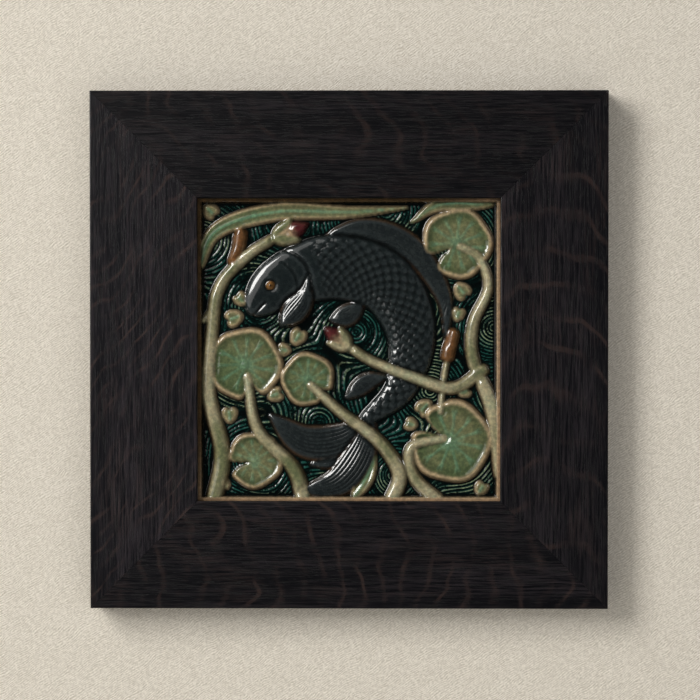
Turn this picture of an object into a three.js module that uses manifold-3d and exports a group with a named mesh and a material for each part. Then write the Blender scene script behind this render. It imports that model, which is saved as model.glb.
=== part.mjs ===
// A square glazed relief tile in a mitred oak frame, made to hang flat on a wall.
// Millimetres, +Z up. The picture faces -Y, and the back of the frame lies on the wall in the plane y = 0.
// The origin is in the keyhole in the top rail's back, on the axis of the screw that it hangs on.
// The relief shows a carp that turns among water lilies, with reeds, bulrushes and a bud.

import * as THREE from "three";
import { mergeVertices } from "three/addons/utils/BufferGeometryUtils.js";
import Module from "manifold-3d";

const wasm = await Module();
wasm.setup();

// Tile
const TILE_SIDE = 203;
const TILE_THICKNESS = 12; // to the top of its rim
const TILE_RIM = 5; // width of the raised border, part of it under the frame
const GROUND_DEPTH = 4.5; // from the rim's top down to the ground of the relief
const RIM_DRAFT = 1.2; // how far the rim's inner wall leans in on its way down
const TILE_PLAY = 1; // free space round the tile's edge

// Frame
const RAIL_WIDTH = 70;
const LIP_THICKNESS = 4.5; // wood in front of the tile's edge
const LIP_LAP = 3; // how far the lip covers the tile's edge
const EASED_EDGE = 0.8; // rounding of the long edges
const MITRE_GAP = 0.1; // between two rails at a mitre
const SEAT_GAP = 0.3; // between any two pieces that lie on each other

// Back board and its screws
const BOARD_THICKNESS = 3;
const BOARD_LAP = 12; // how far the board lies over the wood
const BOARD_PLAY = 0.5; // free space round the board's edge
const BOARD_RECESS = 2; // from the frame's back in to the board
const SCREWS_PER_RAIL = 2;
const SCREW_SPACING = 120;
const SCREW_LENGTH = 12;
const SCREW_RADIUS = 1.5;
const SCREW_POINT = 2.5; // length of the tapered end
const SCREW_HEAD_RADIUS = 3;
const SCREW_HEAD_HEIGHT = 1.2;
const SCREW_CROWN = 0.7; // share of the head's radius that is flat on top
const SCREW_PLAY = 0.2; // round the screw in its holes
const RECESS_ARM = 3.2; // length of each stroke of the cross recess
const RECESS_WIDTH = 0.9;
const RECESS_DEPTH = 0.7;

// Keyhole
const KEYHOLE_DROP = 22; // from the frame's top edge down to the hanging screw
const KEYHOLE_TRAVEL = 14; // from the entry hole up to the hanging screw
const SLOT_RADIUS = 2.5; // lets the screw's shank through
const HEAD_WAY_RADIUS = 5; // lets the screw's head through
const SLOT_DEPTH = 4; // wood that the screw's head catches behind
const KEYHOLE_DEPTH = 9;

// Crest heights of the relief above its ground
const BODY_CREST = 5.4;
const FIN_CREST = 3;
const FLANK_FIN_CREST = 6.2; // of the fin that lies over the carp's side
const STEM_CREST = 4;
const OVER_CREST = 6.6; // of a stem where it passes over the carp
const PAD_CREST = 3.6;
const BLADE_CREST = 3.4;
const BULRUSH_CREST = 4.4;
const BUD_CREST = 4.8;
const HUB_CREST = 2.3; // of a stem where it ends in the middle of a pad
const LEAFLET_CREST = 2.6;
const EYE_RADIUS = 2.3;
const EYE_SEAT = 0.9; // share of the body's crest at which the eyeball's centre lies
const ROOT_DEPTH = 1.5; // how far each form reaches down into the ground
const RELIEF_EDGE = 0.4; // kept clear inside the frame's opening
const SHORTEST_EDGE = 0.02; // shorter ones are closed up where forms are joined
const SAME_POINT = 0.0001; // closer ones are one point
const OVERCUT = 1; // how far a cutting form reaches beyond the face that it cuts

// Facets of round shapes
const BAR_FACETS = 12;
const SCREW_FACETS = 10;
const EYE_FACETS = 8;
const EYE_BANDS = 6;
const SLOT_END_FACETS = 8;

// What follows from those sizes
const SIGHT_HALF = TILE_SIDE / 2 - LIP_LAP;
const RABBET_HALF = TILE_SIDE / 2 + TILE_PLAY;
const BOARD_RABBET_HALF = RABBET_HALF + BOARD_LAP;
const BOARD_HALF = BOARD_RABBET_HALF - BOARD_PLAY;
const OUTER_HALF = SIGHT_HALF + RAIL_WIDTH;
const FIELD_HALF = TILE_SIDE / 2 - TILE_RIM;
const BOARD_BACK_Y = -BOARD_RECESS;
const BOARD_FRONT_Y = BOARD_BACK_Y - BOARD_THICKNESS;
const TILE_BACK_Y = BOARD_FRONT_Y - SEAT_GAP;
const RIM_Y = TILE_BACK_Y - TILE_THICKNESS;
const LIP_BACK_Y = RIM_Y - SEAT_GAP;
const FRONT_Y = LIP_BACK_Y - LIP_THICKNESS;
const GROUND_Y = RIM_Y + GROUND_DEPTH;
const SCREW_OUT = RABBET_HALF + BOARD_LAP / 2; // from the picture's centre out to the screws
const PICTURE_DROP = OUTER_HALF - KEYHOLE_DROP; // from the origin down to the picture's centre

const materials = {
  oak: new THREE.MeshStandardMaterial({ color: 0x241f20, roughness: 0.5, metalness: 0 }),
  glaze: new THREE.MeshStandardMaterial({ color: 0x5c6140, roughness: 0.15, metalness: 0 }),
  board: new THREE.MeshStandardMaterial({ color: 0x5a4330, roughness: 0.8, metalness: 0 }),
  steel: new THREE.MeshStandardMaterial({ color: 0x9a9a96, roughness: 0.4, metalness: 1 }),
};

// A closed three.js geometry as a solid for joining and cutting. One that is inside out is turned.
function toSolid(geometry) {
  const bare = geometry.clone();
  bare.deleteAttribute("normal");
  bare.deleteAttribute("uv");
  const merged = mergeVertices(bare, SAME_POINT);
  const triVerts = new Uint32Array(merged.index.array);
  const vertProperties = merged.attributes.position.array;
  const parts = { numProp: 3, vertProperties, triVerts, tolerance: SHORTEST_EDGE };
  const solid = new wasm.Manifold(new wasm.Mesh(parts));
  if (solid.volume() > 0) return solid;
  triVerts.reverse();
  return new wasm.Manifold(new wasm.Mesh(parts));
}

function toGeometry(solid) {
  const { vertProperties, triVerts } = solid.getMesh();
  const geometry = new THREE.BufferGeometry();
  geometry.setAttribute("position", new THREE.BufferAttribute(vertProperties, 3));
  geometry.setIndex(new THREE.BufferAttribute(triVerts, 1));
  return geometry;
}

function boxSolid([x0, x1], [y0, y1], [z0, z1]) {
  const box = new THREE.BoxGeometry(x1 - x0, y1 - y0, z1 - z0);
  return toSolid(box.translate((x0 + x1) / 2, (y0 + y1) / 2, (z0 + z1) / 2));
}

// A round bar along Y between two depths.
function barSolid(radius, [y0, y1], x, z) {
  const bar = new THREE.CylinderGeometry(radius, radius, y1 - y0, BAR_FACETS);
  return toSolid(bar.translate(x, (y0 + y1) / 2, z));
}

// A closed skin over a row of rings with equal counts of points. Each end closes on one point.
function loft(rings, startPoint, endPoint) {
  const around = rings[0].length;
  const points = [...rings.flat(), startPoint, endPoint];
  const startIndex = points.length - 2;
  const endIndex = points.length - 1;
  const lastRing = (rings.length - 1) * around;
  const faces = [];
  for (let ring = 0; ring < lastRing; ring += around) {
    for (let i = 0; i < around; i++) {
      const here = ring + i;
      const next = ring + ((i + 1) % around);
      faces.push(here, next, here + around, next, next + around, here + around);
    }
  }
  for (let i = 0; i < around; i++) {
    const next = (i + 1) % around;
    faces.push(startIndex, next, i, endIndex, lastRing + i, lastRing + next);
  }
  const geometry = new THREE.BufferGeometry();
  const position = points.flatMap((point) => point.toArray());
  geometry.setAttribute("position", new THREE.Float32BufferAttribute(position, 3));
  geometry.setIndex(faces);
  return toSolid(geometry);
}

// Places on the picture are shares of the field's half width, u to the right and v up.
const onField = ([u, v], y) => new THREE.Vector3(u * FIELD_HALF, y, v * FIELD_HALF);

const CURVE_TENSION = 0.5;
const fieldCurve = (path) => {
  const points = path.map(([u, v]) => new THREE.Vector3(u, 0, v));
  return new THREE.CatmullRomCurve3(points, false, "catmullrom", CURVE_TENSION);
};

// A line through given [place, value] pairs, read at any place between them.
const between = (pairs) => (place) => {
  const i = Math.max(1, pairs.findIndex(([at]) => at >= place));
  const [[x0, y0], [x1, y1]] = [pairs[i - 1], pairs[i]];
  return y0 + ((y1 - y0) * (place - x0)) / (x1 - x0);
};

// Cross-sections: the share of the crest height at a share of the half width, from -1 to 1.
const BODY_FLATNESS = 2.4; // power of a flattened round, where 2 is an ellipse
const sections = {
  round: { marks: [-1, -0.72, 0, 0.72, 1], rise: (s) => Math.sqrt(Math.max(0, 1 - s * s)) },
  body: {
    marks: [-1, -0.94, -0.72, -0.36, 0, 0.36, 0.72, 0.94, 1],
    rise: (s) => Math.sqrt(Math.max(0, 1 - Math.pow(Math.abs(s), BODY_FLATNESS))),
  },
  fin: { marks: [-1, -0.85, 0, 0.85, 1], rise: (s) => between([[0, 1], [0.85, 0.7], [1, 0.12]])(Math.abs(s)) },
  blade: {
    marks: [-1, -0.82, -0.4, 0, 0.4, 0.82, 1],
    rise: (s) => between([[0, 0.95], [0.4, 0.55], [0.82, 1], [1, 0.12]])(Math.abs(s)),
  },
};

// The half width along a form, from 0 at its foot to 1 at its tip.
const TIP_WIDTH = 0.004; // left at a pointed end
const LENS_POWER = 0.85; // of the sine that a leaf's width follows
const CAPSULE_POWER = 8; // the higher, the shorter a capsule's rounded ends
const [HEAD_POWER, TAIL_POWER] = [0.5, 1.1]; // of the way gone and the way left along a fish
const taper = (from, to) => (t) => from + (to - from) * t;
const lens = (widest, at = 0.5) => (t) =>
  TIP_WIDTH + widest * Math.pow(Math.sin(Math.PI * Math.pow(t, Math.log(0.5) / Math.log(at))), LENS_POWER);
const capsule = (width) => (t) => TIP_WIDTH + width * Math.sqrt(1 - Math.pow(2 * t - 1, CAPSULE_POWER));
const fishBody = (widest, root) => (t) => {
  const at = HEAD_POWER / (HEAD_POWER + TAIL_POWER);
  const head = Math.pow(t / at, HEAD_POWER);
  const tail = Math.pow((1 - t) / (1 - at), TAIL_POWER);
  return TIP_WIDTH + widest * head * tail + root * t;
};

// A crest that keeps one height and swells to another round one place along the way.
const level = (height) => () => height;
const swell = (height, top, at, reach) => (t) => {
  const near = Math.max(0, 1 - Math.abs(t - at) / reach);
  return height + (top - height) * near * near * (3 - 2 * near);
};

// One raised form: a cross-section carried along a curve over the ground.
function raisedForm({ path, steps, section, width, crest }) {
  const curve = fieldCurve(path);
  const rootY = GROUND_Y + ROOT_DEPTH;
  const rings = [];
  for (let i = 0; i <= steps; i++) {
    const t = i / steps;
    const centre = curve.getPointAt(t).multiplyScalar(FIELD_HALF);
    const along = curve.getTangentAt(t);
    const across = new THREE.Vector3(-along.z, 0, along.x).multiplyScalar(width(t) * FIELD_HALF);
    const skin = section.marks.map((s) =>
      centre.clone().addScaledVector(across, s).setY(GROUND_Y - crest(t) * section.rise(s)),
    );
    const sides = [1, -1].map((s) => centre.clone().addScaledVector(across, s).setY(rootY));
    rings.push([...skin, ...sides]);
  }
  const inside = (t) => curve.getPointAt(t).multiplyScalar(FIELD_HALF).setY(GROUND_Y + ROOT_DEPTH / 2);
  return loft(rings, inside(0), inside(1));
}

// A leaf drawn as a radius about its centre, which changes with the turn from its notch. Rings of its
// outline, each drawn in to a share of it, stand at the heights that its rise gives at those shares.
const bell = (value, spread) => Math.exp(-Math.pow(value / spread, 2));

function roundLeaf({ centre: [u, v], radius, notchDeg }, { outline, points, crowding, crest, rise, shares }) {
  const notch = THREE.MathUtils.degToRad(notchDeg);
  const ring = (share, y) =>
    Array.from({ length: points }, (_, i) => {
      const place = (2 * i) / points - 1;
      const turn = Math.PI * Math.sign(place) * Math.pow(Math.abs(place), crowding);
      const reach = radius * share * outline(turn);
      return onField([u + reach * Math.cos(notch + turn), v + reach * Math.sin(notch + turn)], y);
    });
  const rings = shares.map((share) => ring(share, GROUND_Y - crest * rise(share)));
  const rootY = GROUND_Y + ROOT_DEPTH;
  return loft([ring(1, rootY), ...rings], onField([u, v], rootY), onField([u, v], GROUND_Y - crest * rise(0)));
}

// A lily pad: round and a little wavy, with a notch and a turned-up edge.
const PAD_NOTCH_DEPTH = 0.8;
const PAD_NOTCH_SPREAD = 0.2;
const PAD_WAVES = 5;
const PAD_WAVE_DEPTH = 0.035;
const padShape = {
  outline: (turn) =>
    (1 - PAD_NOTCH_DEPTH * bell(turn, PAD_NOTCH_SPREAD)) * (1 + PAD_WAVE_DEPTH * Math.cos(PAD_WAVES * turn)),
  points: 26,
  crowding: 1.4, // above 1, the outline has more points by the notch
  crest: PAD_CREST,
  rise: between([[0, 0.8], [0.12, 0.5], [0.78, 0.55], [0.92, 1], [1, 0.15]]),
  shares: [1, 0.92, 0.78, 0.12],
};

// A small floating leaf, shaped like a heart: it dips at its notch and rises to a tip across from that.
const LEAFLET_NOTCH_DEPTH = 0.6;
const LEAFLET_NOTCH_SPREAD = 0.5;
const LEAFLET_TIP = 0.3;
const LEAFLET_TIP_SPREAD = 0.6;
const leafletShape = {
  outline: (turn) => {
    const notch = 1 - LEAFLET_NOTCH_DEPTH * bell(turn, LEAFLET_NOTCH_SPREAD);
    return notch * (1 + LEAFLET_TIP * bell(Math.PI - Math.abs(turn), LEAFLET_TIP_SPREAD));
  },
  points: 10,
  crowding: 1,
  crest: LEAFLET_CREST,
  rise: between([[0, 0.7], [0.8, 1], [1, 0.2]]),
  shares: [1, 0.8],
};

// The carp turns clockwise from its nose at the left, over the top and down to its tail.
const carpPath = [
  [-0.68, 0.25], [-0.46, 0.45], [-0.1, 0.56], [0.25, 0.45], [0.42, 0.12], [0.35, -0.25], [0.12, -0.47],
];
const CARP_HALF_WIDTH = 0.2;
const TAIL_ROOT_WIDTH = 0.05;
const carpFins = [
  { path: [[-0.22, 0.7], [0.1, 0.8], [0.42, 0.68], [0.64, 0.36], [0.66, 0.04]], steps: 12, width: lens(0.09, 0.36) },
  { path: [[0.12, 0.36], [0.0, 0.24], [-0.13, 0.2]], steps: 6, width: lens(0.07, 0.6) },
  { path: [[0.27, -0.18], [0.12, -0.22], [-0.02, -0.33]], steps: 6, width: lens(0.06, 0.55) },
  { path: [[0.16, -0.42], [-0.04, -0.6], [-0.3, -0.62], [-0.54, -0.44]], steps: 9, width: lens(0.115, 0.5) },
  { path: [[0.16, -0.42], [0.08, -0.7], [-0.08, -0.9], [-0.34, -0.96]], steps: 9, width: lens(0.11, 0.5) },
  { path: [[0.16, -0.42], [-0.02, -0.66], [-0.26, -0.78]], steps: 6, width: lens(0.1, 0.6) },
];
const flankFin = { path: [[-0.27, 0.5], [-0.31, 0.34], [-0.46, 0.16]], steps: 7, width: lens(0.085, 0.62) };
const eyePlace = [-0.53, 0.435];

function carp() {
  const fin = (form, crest) => raisedForm({ ...form, section: sections.fin, crest: level(crest) });
  const body = raisedForm({
    path: carpPath,
    steps: 22,
    section: sections.body,
    width: fishBody(CARP_HALF_WIDTH, TAIL_ROOT_WIDTH),
    crest: between([[0, 3], [0.12, BODY_CREST], [0.6, BODY_CREST], [1, FIN_CREST]]),
  });
  const eye = new THREE.SphereGeometry(EYE_RADIUS, EYE_FACETS, EYE_BANDS);
  const eyeCentre = onField(eyePlace, GROUND_Y - BODY_CREST * EYE_SEAT);
  const fins = carpFins.map((form) => fin(form, FIN_CREST));
  return [body, ...fins, fin(flankFin, FLANK_FIN_CREST), toSolid(eye.translate(...eyeCentre.toArray()))];
}

const pads = [
  { centre: [0.73, 0.72], radius: 0.24, notchDeg: 215 },
  { centre: [-0.7, -0.1], radius: 0.25, notchDeg: 282 },
  { centre: [0.69, -0.62], radius: 0.28, notchDeg: 150 },
  { centre: [-0.28, -0.2], radius: 0.18, notchDeg: 318 },
  { centre: [-0.64, -0.75], radius: 0.19, notchDeg: 195 },
];

const leaflets = [
  { centre: [-0.79, 0.21], radius: 0.058, notchDeg: 200 },
  { centre: [-0.74, 0.35], radius: 0.044, notchDeg: 130 },
  { centre: [-0.34, 0.1], radius: 0.056, notchDeg: 60 },
  { centre: [-0.45, 0.0], radius: 0.042, notchDeg: 170 },
  { centre: [-0.81, -0.43], radius: 0.052, notchDeg: 95 },
  { centre: [-0.49, -0.3], radius: 0.05, notchDeg: 20 },
  { centre: [0.77, 0.39], radius: 0.056, notchDeg: 310 },
  { centre: [0.74, 0.25], radius: 0.044, notchDeg: 75 },
  { centre: [0.5, -0.4], radius: 0.056, notchDeg: 225 },
  { centre: [0.41, -0.5], radius: 0.042, notchDeg: 160 },
  { centre: [-0.93, 0.93], radius: 0.05, notchDeg: 315 },
  { centre: [0.79, -0.28], radius: 0.042, notchDeg: 20 },
  { centre: [0.9, -0.93], radius: 0.046, notchDeg: 60 },
  { centre: [-0.86, -0.9], radius: 0.046, notchDeg: 140 },
];

// Round stems, each from its foot at the border to the leaf or bud that it carries. One that carries a pad
// sinks towards its end.
const toPad = between([[0, STEM_CREST], [0.75, STEM_CREST], [1, HUB_CREST]]);
const overTail = between([
  [0, STEM_CREST], [0.3, STEM_CREST], [0.55, BODY_CREST], [0.8, STEM_CREST], [1, HUB_CREST],
]);
const stems = [
  {
    path: [[-0.3, -1.04], [-0.38, -0.8], [-0.62, -0.54], [-0.69, -0.18]],
    steps: 14, width: taper(0.055, 0.026), crest: toPad,
  },
  {
    path: [[0.28, -1.04], [0.34, -0.84], [0.2, -0.62], [-0.06, -0.42], [-0.26, -0.24]],
    steps: 18, width: taper(0.055, 0.026), crest: overTail,
  },
  {
    path: [[0.62, -1.04], [0.44, -0.86], [0.42, -0.66], [0.64, -0.6]],
    steps: 12, width: taper(0.05, 0.026), crest: toPad,
  },
  {
    path: [[1.04, -0.84], [0.97, -0.4], [0.84, -0.06], [0.84, 0.18], [0.94, 0.42], [0.88, 0.62], [0.75, 0.7]],
    steps: 24, width: taper(0.06, 0.026), crest: toPad,
  },
  {
    path: [[0.9, -0.14], [0.7, -0.26], [0.42, -0.18], [0.16, -0.08], [0.0, 0.02]],
    steps: 15, width: taper(0.045, 0.028), crest: swell(STEM_CREST - 0.4, OVER_CREST, 0.48, 0.4),
  },
  {
    path: [[-0.92, -1.04], [-0.86, -0.7], [-0.95, -0.3], [-0.93, 0.1], [-0.88, 0.42], [-0.7, 0.63], [-0.52, 0.75]],
    steps: 26, width: taper(0.058, 0.034), crest: level(STEM_CREST),
  },
];

// Reed blades, each from its foot to its point.
const blades = [
  { path: [[-1.02, 0.52], [-0.9, 0.8], [-0.5, 0.93], [0.0, 0.93], [0.4, 0.96]], steps: 14, width: lens(0.058, 0.4) },
  { path: [[0.02, -1.02], [0.12, -0.86], [0.18, -0.72]], steps: 6, width: lens(0.05, 0.45) },
  { path: [[0.98, 0.98], [0.62, 0.98], [0.42, 0.86]], steps: 7, width: lens(0.045, 0.45) },
];

// Bulrush heads, each on a thin stem.
const bulrushes = [
  { stem: [[-0.98, 0.2], [-0.84, 0.44], [-0.78, 0.58]], head: [[-0.79, 0.56], [-0.75, 0.68], [-0.73, 0.82]] },
  { stem: [[0.62, -0.42], [0.64, -0.2], [0.67, -0.04]], head: [[0.66, -0.08], [0.68, 0.02], [0.71, 0.14]] },
];

// Buds, each at the end of a stem: the closed flower between two sepals.
const buds = [
  { foot: [-0.52, 0.75], headingDeg: 22, length: 0.26 },
  { foot: [0.01, 0.01], headingDeg: 142, length: 0.22 },
];

// The flower and the sepals: their turn from the bud's heading, and their length and half width as shares of
// the bud's length.
const petals = [
  { turnDeg: 0, share: 1, widest: 0.27 },
  { turnDeg: 24, share: 0.74, widest: 0.16 },
  { turnDeg: -24, share: 0.74, widest: 0.16 },
];
const PETAL_WIDEST_AT = 0.42;

function bud({ foot: [u, v], headingDeg, length }) {
  return petals.map(({ turnDeg, share, widest }) => {
    const heading = THREE.MathUtils.degToRad(headingDeg + turnDeg);
    const [du, dv] = [Math.cos(heading) * length * share, Math.sin(heading) * length * share];
    const path = [[u, v], [u + du / 2, v + dv / 2], [u + du, v + dv]];
    const width = lens(length * widest, PETAL_WIDEST_AT);
    return raisedForm({ path, steps: 6, section: sections.round, width, crest: level(BUD_CREST * share) });
  });
}

function bulrush({ stem, head }) {
  const { round } = sections;
  return [
    raisedForm({ path: stem, steps: 4, section: round, width: taper(0.02, 0.018), crest: level(FIN_CREST) }),
    raisedForm({ path: head, steps: 7, section: round, width: capsule(0.042), crest: level(BULRUSH_CREST) }),
  ];
}

function reliefTile() {
  const whole = [-TILE_SIDE / 2, TILE_SIDE / 2];
  const slab = boxSolid(whole, [RIM_Y, TILE_BACK_Y], whole);
  const corners = [[-1, -1], [1, -1], [1, 1], [-1, 1]];
  const square = (half, y) => corners.map(([u, v]) => new THREE.Vector3(u * half, y, v * half));
  const sunk = loft(
    [square(FIELD_HALF, RIM_Y - OVERCUT), square(FIELD_HALF, RIM_Y), square(FIELD_HALF - RIM_DRAFT, GROUND_Y)],
    new THREE.Vector3(0, RIM_Y - OVERCUT, 0),
    new THREE.Vector3(0, GROUND_Y, 0),
  );
  const forms = [
    ...leaflets.map((leaflet) => roundLeaf(leaflet, leafletShape)),
    ...pads.map((pad) => roundLeaf(pad, padShape)),
    ...stems.map((stem) => raisedForm({ ...stem, section: sections.round })),
    ...blades.map((blade) => raisedForm({ ...blade, section: sections.blade, crest: level(BLADE_CREST) })),
    ...bulrushes.flatMap(bulrush),
    ...buds.flatMap(bud),
    ...carp(),
  ];
  const window = [-(SIGHT_HALF - RELIEF_EDGE), SIGHT_HALF - RELIEF_EDGE];
  const inWindow = boxSolid(window, [FRONT_Y, TILE_BACK_Y - OVERCUT], window);
  const relief = forms.reduce((all, form) => all.add(form)).intersect(inWindow);
  return slab.subtract(sunk).add(relief);
}

// Three points of a rounded edge, turning a quarter circle from the given direction.
const easedEdge = (out, y, fromDeg) =>
  [0, 45, 90].map((step) => {
    const angle = THREE.MathUtils.degToRad(fromDeg + step);
    return [out + EASED_EDGE * Math.cos(angle), y + EASED_EDGE * Math.sin(angle)];
  });

// A rail's section, as [distance out from the picture's centre, y], with one rabbet for the tile and a
// wider one for the back board.
const railSection = [
  [SIGHT_HALF, LIP_BACK_Y],
  ...easedEdge(SIGHT_HALF + EASED_EDGE, FRONT_Y + EASED_EDGE, 180),
  ...easedEdge(OUTER_HALF - EASED_EDGE, FRONT_Y + EASED_EDGE, 270),
  ...easedEdge(OUTER_HALF - EASED_EDGE, -EASED_EDGE, 0),
  [BOARD_RABBET_HALF, 0],
  [BOARD_RABBET_HALF, TILE_BACK_Y],
  [RABBET_HALF, TILE_BACK_Y],
  [RABBET_HALF, LIP_BACK_Y],
];

const screwPlaces = Array.from(
  { length: SCREWS_PER_RAIL },
  (_, i) => (i - (SCREWS_PER_RAIL - 1) / 2) * SCREW_SPACING,
);
const SCREW_SEAT_Y = BOARD_BACK_Y + SEAT_GAP; // underside of the head
const SCREW_TIP_Y = SCREW_SEAT_Y - SCREW_LENGTH;
const SCREW_HOLE = SCREW_RADIUS + SCREW_PLAY;

// The top rail without its keyhole. The section is drawn out sideways, and each edge is as long as its
// distance from the centre, which cuts both ends to the mitre. The screws have holes.
function rail() {
  const shape = new THREE.Shape(railSection.map(([out, y]) => new THREE.Vector2(out, y)));
  const geometry = new THREE.ExtrudeGeometry(shape, { depth: 1, bevelEnabled: false });
  const position = geometry.attributes.position;
  for (let i = 0; i < position.count; i++) {
    const out = position.getX(i);
    const end = position.getZ(i) === 0 ? -1 : 1;
    position.setXYZ(i, end * (out - MITRE_GAP / 2), position.getY(i), out);
  }
  const hole = (x) => barSolid(SCREW_HOLE, [SCREW_TIP_Y - SEAT_GAP, BOARD_FRONT_Y], x, SCREW_OUT);
  return screwPlaces.reduce((wood, x) => wood.subtract(hole(x)), toSolid(geometry));
}

// An upright slot with round ends, cut between two depths from the entry hole up to the hanging screw.
function uprightSlot(radius, [y0, y1]) {
  const shape = new THREE.Shape();
  shape.absarc(0, PICTURE_DROP, radius, 0, Math.PI);
  shape.absarc(0, PICTURE_DROP - KEYHOLE_TRAVEL, radius, Math.PI, 2 * Math.PI);
  const settings = { depth: y1 - y0, bevelEnabled: false, curveSegments: SLOT_END_FACETS };
  const geometry = new THREE.ExtrudeGeometry(shape, settings);
  return toSolid(geometry.rotateX(Math.PI / 2).translate(0, y1, 0));
}

function railWithKeyhole() {
  const entry = barSolid(HEAD_WAY_RADIUS, [-KEYHOLE_DEPTH, OVERCUT], 0, PICTURE_DROP - KEYHOLE_TRAVEL);
  const slot = uprightSlot(SLOT_RADIUS, [-SLOT_DEPTH - OVERCUT, OVERCUT]);
  const headWay = uprightSlot(HEAD_WAY_RADIUS, [-KEYHOLE_DEPTH, -SLOT_DEPTH]);
  return rail().subtract(entry.add(slot).add(headWay));
}

function backBoard() {
  const whole = [-BOARD_HALF, BOARD_HALF];
  let board = boxSolid(whole, [BOARD_FRONT_Y, BOARD_BACK_Y], whole);
  for (const x of screwPlaces) {
    for (const side of [-1, 1]) {
      const through = [BOARD_FRONT_Y - OVERCUT, BOARD_BACK_Y + OVERCUT];
      board = board.subtract(barSolid(SCREW_HOLE, through, x, side * SCREW_OUT));
      board = board.subtract(barSolid(SCREW_HOLE, through, side * SCREW_OUT, x));
    }
  }
  return board;
}

// A pan-head screw on the Y axis with its point towards -Y and a cross recess.
function screw() {
  const topY = SCREW_SEAT_Y + SCREW_HEAD_HEIGHT;
  const profile = [
    [0, SCREW_TIP_Y],
    [SCREW_RADIUS, SCREW_TIP_Y + SCREW_POINT],
    [SCREW_RADIUS, SCREW_SEAT_Y],
    [SCREW_HEAD_RADIUS, SCREW_SEAT_Y],
    [SCREW_HEAD_RADIUS, SCREW_SEAT_Y + SCREW_HEAD_HEIGHT / 2],
    [SCREW_HEAD_RADIUS * SCREW_CROWN, topY],
    [0, topY],
  ];
  const body = toSolid(new THREE.LatheGeometry(profile.map(([r, y]) => new THREE.Vector2(r, y)), SCREW_FACETS));
  const [long, short] = [RECESS_ARM, RECESS_WIDTH].map((size) => [-size / 2, size / 2]);
  const depth = [topY - RECESS_DEPTH, topY + OVERCUT];
  return body.subtract(boxSolid(long, depth, short).add(boxSolid(short, depth, long)));
}

function pieceMesh(name, solid, material) {
  const mesh = new THREE.Mesh(toGeometry(solid), material);
  mesh.name = name;
  return mesh;
}

// Pieces are placed about the picture's centre, and the whole hangs down from the origin.
const framedTile = new THREE.Group();
framedTile.position.z = -PICTURE_DROP;
framedTile.add(pieceMesh("relief_tile", reliefTile(), materials.glaze));
framedTile.add(pieceMesh("back_board", backBoard(), materials.board));

const sides = [
  { name: "frame_rail_top", turnDeg: 0, wood: railWithKeyhole() },
  { name: "frame_stile_right", turnDeg: 90, wood: rail() },
  { name: "frame_rail_bottom", turnDeg: 180, wood: rail() },
  { name: "frame_stile_left", turnDeg: 270, wood: rail() },
];
sides.forEach(({ name, turnDeg, wood }, side) => {
  const turned = new THREE.Group();
  turned.rotation.y = THREE.MathUtils.degToRad(turnDeg);
  turned.add(pieceMesh(name, wood, materials.oak));
  screwPlaces.forEach((x, i) => {
    const mesh = pieceMesh(`back_board_screw_${side * SCREWS_PER_RAIL + i + 1}`, screw(), materials.steel);
    mesh.position.set(x, 0, SCREW_OUT);
    turned.add(mesh);
  });
  framedTile.add(turned);
});

const root = new THREE.Group();
root.add(framedTile);
export default root;
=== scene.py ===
"""A glazed relief tile in a wide, nearly black oak frame, hung flat on a pale wall.

The oak rails, the back board and its screws are the frame's solids with finishes of their own. The tile is a
new surface: a height worked out at each point of a grid, with the same carp, water lilies, stems, reeds and
bulrushes as the solid that it replaces, and with finer ripples, scales, fin rays and leaf veins.

Lengths are in metres, apart from those of the relief, whose names end in MM or which say so. Places in the
picture are shares of half the width of its field, u to the right and v up.
"""
import math

import bpy
import numpy as np
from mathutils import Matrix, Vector


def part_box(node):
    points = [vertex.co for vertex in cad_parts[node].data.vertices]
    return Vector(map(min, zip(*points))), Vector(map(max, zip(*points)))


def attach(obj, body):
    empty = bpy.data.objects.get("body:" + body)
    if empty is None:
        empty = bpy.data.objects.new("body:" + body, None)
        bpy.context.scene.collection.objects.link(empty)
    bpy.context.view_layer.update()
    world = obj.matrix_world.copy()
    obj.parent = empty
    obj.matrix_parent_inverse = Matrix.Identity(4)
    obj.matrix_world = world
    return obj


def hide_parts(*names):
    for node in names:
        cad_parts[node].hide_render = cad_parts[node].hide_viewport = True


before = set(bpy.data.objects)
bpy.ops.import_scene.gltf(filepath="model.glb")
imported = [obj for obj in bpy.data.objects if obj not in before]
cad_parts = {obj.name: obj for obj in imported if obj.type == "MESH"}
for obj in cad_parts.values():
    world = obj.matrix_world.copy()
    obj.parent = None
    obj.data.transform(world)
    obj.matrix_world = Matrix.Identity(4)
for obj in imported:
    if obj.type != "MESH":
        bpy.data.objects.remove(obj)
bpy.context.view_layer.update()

MM = 0.001

tile_low, tile_high = (Vector(corner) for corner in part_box("relief_tile"))
TILE_CENTRE = (tile_low + tile_high) / 2
TILE_HALF_MM = (tile_high.x - tile_low.x) / 2 / MM
FRONT_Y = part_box("frame_rail_top")[0][1]

# Tile, in millimetres
TILE_THICKNESS_MM = 12.0
TILE_RIM_MM = 5.0
GROUND_DEPTH_MM = 4.5
RIM_DRAFT_MM = 1.2
RIM_SHOULDER_MM = 0.35
RIM_CLEAR_MM = 0.6
FIELD_HALF_MM = TILE_HALF_MM - TILE_RIM_MM

# Crest heights above the ground, in millimetres
BODY_CREST = 5.4
NOSE_CREST = 3.0
FIN_CREST = 3.0
FLANK_FIN_CREST = 6.2
STEM_CREST = 4.0
OVER_CREST = 6.6
PAD_CREST = 3.6
BLADE_CREST = 3.4
BULRUSH_CREST = 4.4
BUD_CREST = 4.8
HUB_CREST = 2.3
LEAFLET_CREST = 2.6
EYE_RADIUS = 2.3

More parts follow.
